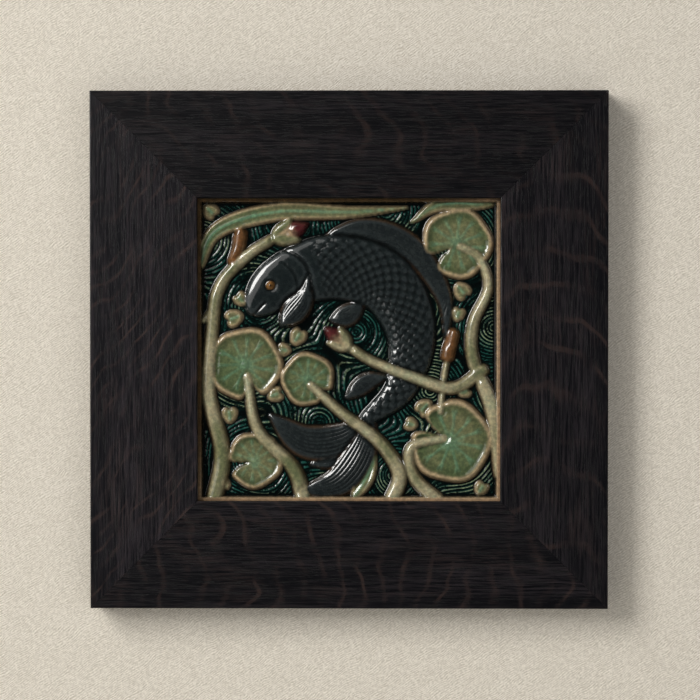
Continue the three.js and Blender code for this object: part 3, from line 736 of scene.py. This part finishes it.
# Each stem: its path, its half width and its crest. Each blade: its path and half width. Each bulrush: the
# paths of its stem and head. Each bud: its foot, its turn in degrees and its length.
LOW_STEMS = [
    ([(-0.92, -1.04), (-0.86, -0.7), (-0.95, -0.3), (-0.93, 0.1), (-0.88, 0.42), (-0.7, 0.63),
      (-0.52, 0.75)], taper(0.058, 0.034), level(STEM_CREST)),
    ([(0.62, -1.04), (0.44, -0.86), (0.42, -0.66), (0.64, -0.6)], taper(0.05, 0.026), TO_PAD),
    ([(1.04, -0.84), (0.97, -0.4), (0.84, -0.06), (0.84, 0.18), (0.94, 0.42), (0.88, 0.62),
      (0.75, 0.7)], taper(0.06, 0.026), TO_PAD),
    ([(-0.3, -1.04), (-0.38, -0.8), (-0.62, -0.54), (-0.69, -0.18)], taper(0.055, 0.026), TO_PAD),
]
OVER_STEMS = [
    ([(0.28, -1.04), (0.34, -0.84), (0.2, -0.62), (-0.06, -0.42), (-0.26, -0.24)],
     taper(0.055, 0.026), OVER_TAIL),
    ([(0.9, -0.14), (0.7, -0.26), (0.42, -0.18), (0.16, -0.08), (0.0, 0.02)],
     taper(0.045, 0.028), swell(STEM_CREST - 0.4, OVER_CREST, 0.48, 0.4)),
]
BLADES = [
    ([(-1.02, 0.52), (-0.9, 0.8), (-0.5, 0.93), (0.0, 0.93), (0.4, 0.96)], lens(0.058, 0.4)),
    ([(0.02, -1.02), (0.12, -0.86), (0.18, -0.72)], lens(0.05, 0.45)),
    ([(0.98, 0.98), (0.62, 0.98), (0.42, 0.86)], lens(0.045, 0.45)),
]
BULRUSHES = [
    ([(-0.98, 0.2), (-0.84, 0.44), (-0.78, 0.58)], [(-0.79, 0.56), (-0.75, 0.68), (-0.73, 0.82)]),
    ([(0.62, -0.42), (0.64, -0.2), (0.67, -0.04)], [(0.66, -0.08), (0.68, 0.02), (0.71, 0.14)]),
]
BUDS = [((-0.52, 0.75), 22, 0.26), ((0.01, 0.01), 142, 0.22)]
LEAFLETS = [
    ((-0.79, 0.21), 0.058, 200), ((-0.74, 0.35), 0.044, 130), ((-0.34, 0.1), 0.056, 60),
    ((-0.45, 0.0), 0.042, 170), ((-0.81, -0.43), 0.052, 95), ((-0.49, -0.3), 0.05, 20),
    ((0.77, 0.39), 0.056, 310), ((0.74, 0.25), 0.044, 75), ((0.5, -0.4), 0.056, 225),
    ((0.41, -0.5), 0.042, 160), ((-0.93, 0.93), 0.05, 315), ((0.79, -0.28), 0.042, 20),
    ((0.9, -0.93), 0.046, 60), ((-0.86, -0.9), 0.046, 140),
]
RIPPLE_CENTRES = [pad[0] for pad in PADS] + [
    (-0.6, 0.3), (0.05, 0.12), (0.3, -0.85), (0.98, 0.15),
    (-1.0, 0.75), (0.25, 0.95), (-0.2, -0.5), (0.55, -0.28),
]

# The flower and its two sepals: turn in degrees, share of the bud's length, half width and glaze
BUD_LEAVES = [(0, 1, 0.27, BUD), (24, 0.74, 0.16, SEPAL), (-24, 0.74, 0.16, SEPAL)]
BUD_WIDEST_AT = 0.42
RUSH_WIDTH = taper(0.02, 0.018)
RUSH_HEAD_WIDTH = capsule(0.042)


def lay_bud(relief, foot, heading_deg, length):
    """A closed flower between two sepals that open from it on either side."""
    for turn_deg, share, widest, glaze in BUD_LEAVES:
        heading = math.radians(heading_deg + turn_deg)
        tip = np.array([math.cos(heading), math.sin(heading)]) * length * share
        path = [np.array(foot) + tip * step for step in (0, 0.5, 1)]
        width = lens(length * widest, BUD_WIDEST_AT)
        relief.carry(path, "round", width, level(BUD_CREST * share), glaze)


def lay_bulrush(relief, stem, head):
    """A thin stem with a rounded bar at its end."""
    relief.carry(stem, "round", RUSH_WIDTH, level(FIN_CREST), STEM)
    relief.carry(head, "round", RUSH_HEAD_WIDTH, level(BULRUSH_CREST), BULRUSH)


def blurred(field, radius):
    """The mean over a square of the given radius in cells, by running sums along each axis."""
    for axis in (0, 1):
        pad = [(radius + 1, radius) if i == axis else (0, 0) for i in (0, 1)]
        total = np.cumsum(np.pad(field, pad, mode="edge"), axis=axis)
        upper = np.take(total, range(2 * radius + 1, total.shape[axis]), axis=axis)
        lower = np.take(total, range(0, total.shape[axis] - 2 * radius - 1), axis=axis)
        field = (upper - lower) / (2 * radius + 1)
    return field


def smeared(field, flow, reach):
    """The field averaged along a flow: each point takes the mean of the points on its way, up to the given
    number of cells ahead of it and behind it."""
    last = field.shape[0] - 1
    total = field.copy()
    for sign in (1, -1):
        place = np.indices(field.shape).astype(float)
        for _ in range(reach):
            i, j = np.clip(np.rint(place), 0, last).astype(int)
            place += sign * flow[:, i, j]
            i, j = np.clip(np.rint(place), 0, last).astype(int)
            total += field[i, j]
    return total / (2 * reach + 1)


def lay_ripples(relief):
    """Ripples cut into the ground, in rings round each lily pad and a few more places: a cosine of a smooth
    least distance to these, bent by a slow noise. Smooth least means minus the log of the sum of exponents
    of minus each, which lets rings merge where they meet. A noise smeared along the rings breaks them into
    strokes of unequal length and height."""
    border = FIELD_HALF_MM - RIM_DRAFT_MM - np.maximum(abs(relief.x), abs(relief.y))
    shore = np.minimum(relief.shore, border)
    near = np.zeros_like(relief.x)
    for u, v in RIPPLE_CENTRES:
        near += np.exp(-np.hypot(relief.u - u, relief.v - v) * FIELD_HALF_MM / RIPPLE_MERGE)
    bend = RIPPLE_BEND * relief.cloud(*BEND_CLOUD, shift=200, octaves=1)
    relief.phase = -RIPPLE_MERGE * np.log(near) / RIPPLE_PITCH + bend
    slope = np.stack(np.gradient(relief.phase))
    flow = np.stack([-slope[1], slope[0]]) / (np.hypot(*slope) + LEAST_SLOPE)
    rough = np.random.default_rng(STROKE_SEED).random(relief.x.shape)
    strokes = smeared(rough, flow, STROKE_REACH)
    strokes = (strokes - strokes.mean()) / strokes.std()
    ground = relief.glaze == GROUND
    clear = smoothstep(shore, *RIPPLE_SHORE)
    steady = smoothstep(np.hypot(*slope), *STEADY_SLOPE)
    relief.stroke = np.where(ground, clear * steady * smoothstep(strokes, *STROKE_SPAN), 0)
    crest = (0.5 + 0.5 * np.cos(relief.phase * math.tau)) ** RIPPLE_SHARPNESS
    relief.height += RIPPLE_HEIGHT * crest * relief.stroke
    relief.side = np.where(ground, strokes, relief.side)


def lay_rim(relief):
    """The tile's raised border: flat on top, with a drafted inner wall and rounded edges."""
    out = np.maximum(abs(relief.x), abs(relief.y)) - FIELD_HALF_MM
    wall = GROUND_DEPTH_MM * smoothstep(out, -RIM_DRAFT_MM, RIM_SHOULDER_MM)
    clear = out > RIM_CLEAR_MM
    relief.height = np.where(clear, GROUND_DEPTH_MM, np.maximum(relief.height, wall))
    taken = ((out > -0.5 * RIM_DRAFT_MM) & (relief.height <= wall + 0.01)) | clear
    relief.glaze = np.where(taken, RIM, relief.glaze)
    relief.along = np.where(taken, out, relief.along)


def build_relief(x, y):
    """The whole picture: forms from the lowest to the highest, softened by means over neighbouring points,
    with the fine relief on top, then the ripples and the rim."""
    relief = Relief(x, y)
    for leaflet in LEAFLETS:
        lay_leaflet(relief, *leaflet)
    for pad in PADS:
        lay_pad(relief, *pad)
    for path, width in BLADES:
        relief.carry(path, "blade", width, level(BLADE_CREST), BLADE)
    for stem, head in BULRUSHES:
        lay_bulrush(relief, stem, head)
    for path, width, crest in LOW_STEMS:
        relief.carry(path, "round", width, crest, STEM)
    lay_carp(relief)
    for path, width, crest in OVER_STEMS:
        relief.carry(path, "round", width, crest, STEM)
    for foot, heading_deg, length in BUDS:
        lay_bud(relief, foot, heading_deg, length)
    lay_eye(relief)
    relief.height = blurred(blurred(relief.height, 1), 1) + relief.fine
    lay_ripples(relief)
    lay_rim(relief)
    return relief


# Glaze colours, linear
DEEP_TEAL = (0.0004, 0.0022, 0.0022)
SEA_GREEN = (0.001, 0.0085, 0.0076)
TEAL = (0.0135, 0.078, 0.066)
STRAW = (0.29, 0.32, 0.19)
OLIVE = (0.165, 0.163, 0.085)
SAND = (0.4, 0.345, 0.225)
TAN = (0.45, 0.33, 0.205)
COPPER = (0.095, 0.045, 0.018)
MOSS = (0.1, 0.135, 0.064)
MINT = (0.15, 0.38, 0.25)
CHARCOAL = (0.0115, 0.0165, 0.018)
SOOT = (0.0015, 0.0018, 0.0018)
SLATE = (0.036, 0.044, 0.048)
PLUM = (0.075, 0.012, 0.016)
AMBER = (0.42, 0.2, 0.06)
RUST = (0.2, 0.09, 0.035)
BARE_CLAY = (0.35, 0.24, 0.15)
# The rim's colours: painted shadow on its top and left sides, as if the frame's lip shaded them, and painted
# light on its right and bottom sides
RIM_PAINTED_SHADOW = (0.05, 0.03, 0.014)
RIM_PAINTED_SHADOW_BROWN = (0.11, 0.065, 0.03)
RIM_PAINTED_LIT = (0.3, 0.18, 0.11)
MOTTLE_DARK = (0.72, 0.74, 0.72, 1.0)
MOTTLE_LIGHT = (1.25, 1.22, 1.12, 1.0)
SPECK = (0.012, 0.011, 0.007, 1.0)

# Cells to a metre of the finest noises in the glaze
MOTTLE_CELLS = 420.0
SPECK_CELLS = 1700.0
PEEL_CELLS = 170.0

# What pad, thin and pooled glaze multiply a colour by, and how much tan thin glaze adds
PAD_SHADE = np.array((0.45, 0.5, 0.45))
POOL_TINT = np.array((0.12, 0.2, 0.18))
THIN_GAIN = 1.5
THIN_TAN = 0.08 * np.array(TAN)


def blend(share, a, b):
    """Two colours mixed by a share at each point."""
    return np.asarray(a) * (1 - share[..., None]) + np.asarray(b) * share[..., None]


def glaze_colours(relief):
    """The colour of the glaze at each point. It pools dark and green in hollows, and breaks thin and brown
    over crests and edges, by how high a point stands over the mean around it. Painted shade also darkens the
    stems' flanks and the rim's top and left sides, and painted light brightens its right and bottom sides."""
    crest = relief.height - blurred(relief.height, 3)
    broad = relief.cloud(*BROAD_CLOUD)
    fine = relief.cloud(*FINE_CLOUD)
    drift = fine - 0.5
    across, along, side = relief.across, relief.along, relief.side
    thin = smoothstep(crest + 0.35 * drift, 0.1, 0.8)
    pooled = smoothstep(-crest, 0.05, 0.9)

    stem = blend(smoothstep(broad + 0.25 * drift, 0.1, 0.6), OLIVE, SAND)
    stem = blend(0.5 * smoothstep(across, 0.55, 0.2) * smoothstep(broad, 0.55, 0.25), stem, MOSS)
    stem = blend(0.2 * smoothstep(fine + broad, 1.05, 1.35), stem, MINT)
    # Copper on the stems' flanks: partly glaze breaking thin over their edges, partly painted shade, widened
    # to darken both flanks
    stem = blend(smoothstep(across + 0.2 * drift, 0.72, 1.0), stem, COPPER)

    blade = blend(smoothstep(broad + 0.3 * fine, 0.45, 0.9), OLIVE, MOSS)
    blade = blend(0.25 * smoothstep(across, 0.6, 0.2) * smoothstep(fine, 0.6, 0.8), blade, MINT)
    blade = blend(0.85 * smoothstep(across + 0.06 * drift, 0.11, 0.04), blade, MINT)
    blade = blend(0.85 * smoothstep(across, 0.62, 0.84), blade, TAN)
    blade = blend(smoothstep(across, 0.93, 1.0), blade, COPPER)

    pad = blend(smoothstep(broad + 0.5 * fine, 0.4, 1.1), OLIVE, MOSS)
    pad = blend(0.55 * smoothstep(abs(across - 0.78), 0.2, 0.02), pad, MOSS * PAD_SHADE)
    veins = smoothstep(side + 0.5 * drift, 0.3, 1.0) * smoothstep(across, 1.1, 0.3)
    pad = blend(0.7 * veins, pad, MINT)
    pad = blend(0.35 * smoothstep(across + 0.4 * drift, 0.4, 0.0), pad, MINT)
    pad = blend(0.9 * smoothstep(across + 0.05 * fine, 0.87, 0.93), pad, TAN)
    pad = blend(smoothstep(across, 0.955, 1.0), pad, COPPER)

    leaflet = blend(0.6 * smoothstep(side, 0.2, 0.9), OLIVE, MINT)
    leaflet = blend(0.8 * smoothstep(across + 0.2 * fine, 0.7, 0.95), leaflet, TAN)

    skin = blend(0.9 * smoothstep(-crest, 0.02, 0.24), CHARCOAL, SOOT)
    body = blend(0.8 * smoothstep(crest, 0.03, 0.2), skin, SLATE)
    fin = blend(0.8 * smoothstep(crest, 0.02, 0.16), skin, SLATE)
    fin = blend(0.7 * smoothstep(across, 0.8, 1.0), fin, COPPER)
    bud = blend(smoothstep(along + 0.2 * drift, 0.35, 0.7), TAN, PLUM)
    bulrush = blend(fine, COPPER, RUST)
    # Painted light and shade on the rim: its top and left sides darker, its right and bottom sides lighter,
    # with a painted highlight along their rounded inner edge
    rim_painted_light = smoothstep(relief.u - relief.v, -0.6, 0.6)
    rim = blend(rim_painted_light, blend(fine, RIM_PAINTED_SHADOW, RIM_PAINTED_SHADOW_BROWN), blend(0.4 * fine, RIM_PAINTED_LIT, TAN))
    rim = blend(0.7 * rim_painted_light * smoothstep(along, 1.1, 0.4), rim, TAN)
    rim = blend(smoothstep(along + 0.4 * drift, -0.1, -0.5), rim, DEEP_TEAL)
    eye = blend(smoothstep(across, 0.45, 0.7), SOOT, AMBER)

    colour = np.full((*relief.x.shape, 3), DEEP_TEAL)
    for glaze, values in {
        STEM: stem, BLADE: blade, PAD: pad, FIN: fin, BODY: body, BUD: bud, SEPAL: stem,
        BULRUSH: bulrush, RIM: rim, LEAFLET: leaflet, EYE: eye,
    }.items():
        here = relief.glaze == glaze
        colour[here] = values[here]
    soft = ~np.isin(relief.glaze, (BODY, FIN, EYE, RIM, GROUND))
    colour = blend(np.where(soft, 0.4 * thin, 0), colour, colour * THIN_GAIN + THIN_TAN)
    colour = blend(np.where(soft, 0.9 * pooled, 0), colour, colour * POOL_TINT)
    return np.stack([blurred(colour[..., i], 1) for i in range(3)], axis=-1)


def ripple_marks(relief):
    """What the ripples' colours are read from: their phase, how strongly they are cut, and how far the glaze
    has broken to straw on them."""
    broad = relief.cloud(*BROAD_CLOUD)
    straw = smoothstep(0.35 * relief.side + 4 * (broad - 0.5), -0.2, 1.1)
    return np.stack([relief.phase, relief.stroke, straw], axis=-1)


# The grid: cells across the field, the band by the rim with lines of its own, and those lines' places from
# the rim's inner edge
FIELD_CELLS = 292
FINE_BAND_MM = 1.5
RIM_STATIONS_MM = (-1.1, -0.75, -0.4, 0.0, 0.3, 0.7, 1.5, 2.7)


def grid_stations():
    """Places of the grid's lines along one side: even over the field, and closer by the rim's inner wall."""
    inner = FIELD_HALF_MM - FINE_BAND_MM
    even = np.linspace(-inner, inner, FIELD_CELLS + 1)
    edge = np.array([FIELD_HALF_MM + step for step in RIM_STATIONS_MM] + [TILE_HALF_MM])
    return np.concatenate([-edge[::-1], even, edge])


def make_mesh(name, vertices, faces):
    """A new object of the given points and faces, with its origin at the frame's."""
    mesh = bpy.data.meshes.new(name)
    mesh.from_pydata(vertices.tolist(), [], faces)
    mesh.update()
    piece = bpy.data.objects.new(name, mesh)
    bpy.context.scene.collection.objects.link(piece)
    return piece


def glaze_material():
    """Fired glaze: the colours that the tile carries, with the ripples' own colours read from their phase,
    mottled and speckled, under a clear glassy coat."""
    material, t, shader = new_material("fired_glaze")
    carried = t.node("ShaderNodeAttribute", {"attribute_name": "glaze"}).outputs["Color"]
    marks = t.node("ShaderNodeAttribute", {"attribute_name": "ripple"}).outputs["Color"]
    phase, cut, straw = t.node("ShaderNodeSeparateColor", Color=marks).outputs
    place = t.place()
    wave = t.math("COSINE", t.times(phase, math.tau))
    ridge = t.times(t.smooth(wave, -0.45, 1.0), t.smooth(cut, 0.1, 0.9))
    tip = t.times(t.smooth(wave, 0.35, 1.0), t.times(straw, cut))
    carried = t.mix(t.times(cut, 0.85), carried, (*SEA_GREEN, 1.0))
    carried = t.mix(ridge, carried, (*TEAL, 1.0))
    carried = t.mix(tip, carried, (*STRAW, 1.0))
    mottle = t.noise(place, MOTTLE_CELLS, detail=3.0, rough=0.6)
    specks = t.noise(place, SPECK_CELLS, detail=1.0)
    lighter = t.mix(t.smooth(mottle, 0.35, 0.75), MOTTLE_DARK, MOTTLE_LIGHT)
    colour = t.mix(1.0, carried, lighter, "MULTIPLY")
    colour = t.mix(t.times(t.smooth(specks, 0.68, 0.76), 0.35), colour, SPECK)
    t.put(shader, "Base Color", colour)
    t.put(shader, "Roughness", 0.35)
    t.put(shader, "Specular IOR Level", 0.04)
    t.put(shader, "Coat Weight", t.math("SUBTRACT", 1.0, t.times(cut, 0.55)))
    t.put(shader, "Coat Roughness", 0.09)
    t.put(shader, "Coat IOR", 1.7)
    t.put(shader, "Normal", t.bump(0.25, 0.0004, t.noise(place, PEEL_CELLS)))
    return material


def add_tile():
    """The tile: a grid whose points stand out by the relief's height, with plain sides and a flat back."""
    stations = grid_stations()
    count = len(stations)
    x, z = np.meshgrid(stations, stations, indexing="ij")
    relief = build_relief(x, z)
    back_y = tile_high.y
    ground_y = back_y - (TILE_THICKNESS_MM - GROUND_DEPTH_MM) * MM
    across, up = TILE_CENTRE.x + x * MM, TILE_CENTRE.z + z * MM
    front = np.stack([across, ground_y - relief.height * MM, up], axis=-1)
    index = np.arange(count * count).reshape(count, count)
    ring = np.concatenate([index[:-1, 0], index[-1, :-1], index[:0:-1, -1], index[0, :0:-1]])
    vertices = front.reshape(-1, 3)
    behind = vertices[ring].copy()
    behind[:, 1] = back_y
    middle = np.array([[TILE_CENTRE.x, back_y, TILE_CENTRE.z]])
    total = count * count
    back = total + np.arange(len(ring))
    centre = total + len(ring)
    after = np.roll(back, -1)
    quads = np.stack([index[:-1, :-1], index[1:, :-1], index[1:, 1:], index[:-1, 1:]], axis=-1)
    quads = quads.reshape(-1, 4)
    sides = np.stack([ring, back, after, np.roll(ring, -1)], axis=-1)
    fan = np.stack([back, np.full(len(ring), centre), after], axis=-1)
    faces = quads.tolist() + sides.tolist() + fan.tolist()
    tile = make_mesh("glazed_tile", np.vstack([vertices, behind, middle]), faces)

    mesh = tile.data
    for name, front_values, other in (
        ("glaze", glaze_colours(relief), BARE_CLAY),
        ("ripple", ripple_marks(relief), (0, 0, 0)),
    ):
        values = np.ones((len(mesh.vertices), 4))
        values[:total, :3] = front_values.reshape(-1, 3)
        values[total:, :3] = other
        attribute = mesh.color_attributes.new(name, "FLOAT_COLOR", "POINT")
        attribute.data.foreach_set("color", values.ravel())
    smooth = np.zeros(len(mesh.polygons), dtype=bool)
    smooth[: len(quads)] = True
    mesh.polygons.foreach_set("use_smooth", smooth)
    mesh.materials.append(glaze_material())
    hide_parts("relief_tile")
    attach(tile, "root")


# Wall and floor

WALL_GAP = 0.0004
WALL_HALF = 1.6
FLOOR_DROP = 1.0
FLOOR_REACH = 3.2
TWILL_PITCH = 0.00135
TWILL_LEAN = math.radians(33)
TWILL_WANDER = 5.0
WALL_SHADE = (0.52, 0.47, 0.39, 1.0)
WALL_PALE = (0.89, 0.835, 0.74, 1.0)
FLOOR_SHADE = (0.56, 0.54, 0.5, 1.0)
FLOOR_PALE = (0.62, 0.6, 0.56, 1.0)


def add_plane(name, corners, material):
    """A flat piece of the set, which is no part of the object."""
    plane = make_mesh(name, np.array(corners), [(0, 1, 2, 3)])
    plane.data.materials.append(material)
    return plane


def wall_material():
    """Pale limewash over fine twill: ribs that rise to the right, as a sine across them, bent and broken up
    by noises. Seen from behind it is clear, so that the frame's back shows from there."""
    material, t, shader = new_material("pale_wall")
    place = t.place()
    parts = t.node("ShaderNodeSeparateXYZ", Vector=place)
    rise = t.times(parts.outputs[2], math.cos(TWILL_LEAN) / TWILL_PITCH)
    fall = t.times(parts.outputs[0], -math.sin(TWILL_LEAN) / TWILL_PITCH)
    wobble = t.times(t.noise(place, 60.0, detail=3.0), TWILL_WANDER)
    phase = t.plus(t.plus(rise, fall), wobble)
    ribs = t.math("SINE", t.times(phase, math.tau))
    breaks = t.smooth(t.noise(place, 330.0), 0.35, 0.65)
    weave = t.times(ribs, breaks)
    grit = t.noise(place, 620.0, detail=3.0, rough=0.7)
    height = t.plus(t.times(weave, 0.25), grit)
    t.put(shader, "Base Color", t.mix(t.smooth(height, 0.1, 0.9), WALL_SHADE, WALL_PALE))
    t.put(shader, "Roughness", 0.9)
    t.put(shader, "Normal", t.bump(0.4, 0.0005, height))
    clear = t.node("ShaderNodeBsdfTransparent").outputs[0]
    behind = t.node("ShaderNodeNewGeometry").outputs["Backfacing"]
    mixed = t.node("ShaderNodeMixShader", i0=behind, i1=shader.outputs[0], i2=clear).outputs[0]
    t.put(t.tree.nodes["Material Output"], "Surface", mixed)
    return material


def floor_material():
    """Pale matt floor with faint broad clouds."""
    material, t, shader = new_material("pale_floor")
    t.put(shader, "Base Color", t.mix(t.noise(t.place(), 2.0), FLOOR_SHADE, FLOOR_PALE))
    t.put(shader, "Roughness", 0.85)
    return material


def add_stage():
    """A wall just behind the frame, and a floor well below it."""
    left, right, top = -WALL_HALF, WALL_HALF, WALL_HALF
    bottom = TILE_CENTRE.z - FLOOR_DROP
    back, front = WALL_GAP, -FLOOR_REACH
    upright = [(left, back, bottom), (right, back, bottom), (right, back, top), (left, back, top)]
    wall = add_plane("wall", upright, wall_material())
    wall.visible_shadow = False
    wall.visible_diffuse = False
    flat = [(left, front, bottom), (right, front, bottom), (right, back, bottom), (left, back, bottom)]
    floor = add_plane("floor", flat, floor_material())
    floor.visible_glossy = False


add_camera()
add_lights()
add_stage()
dress_solids()
add_tile()
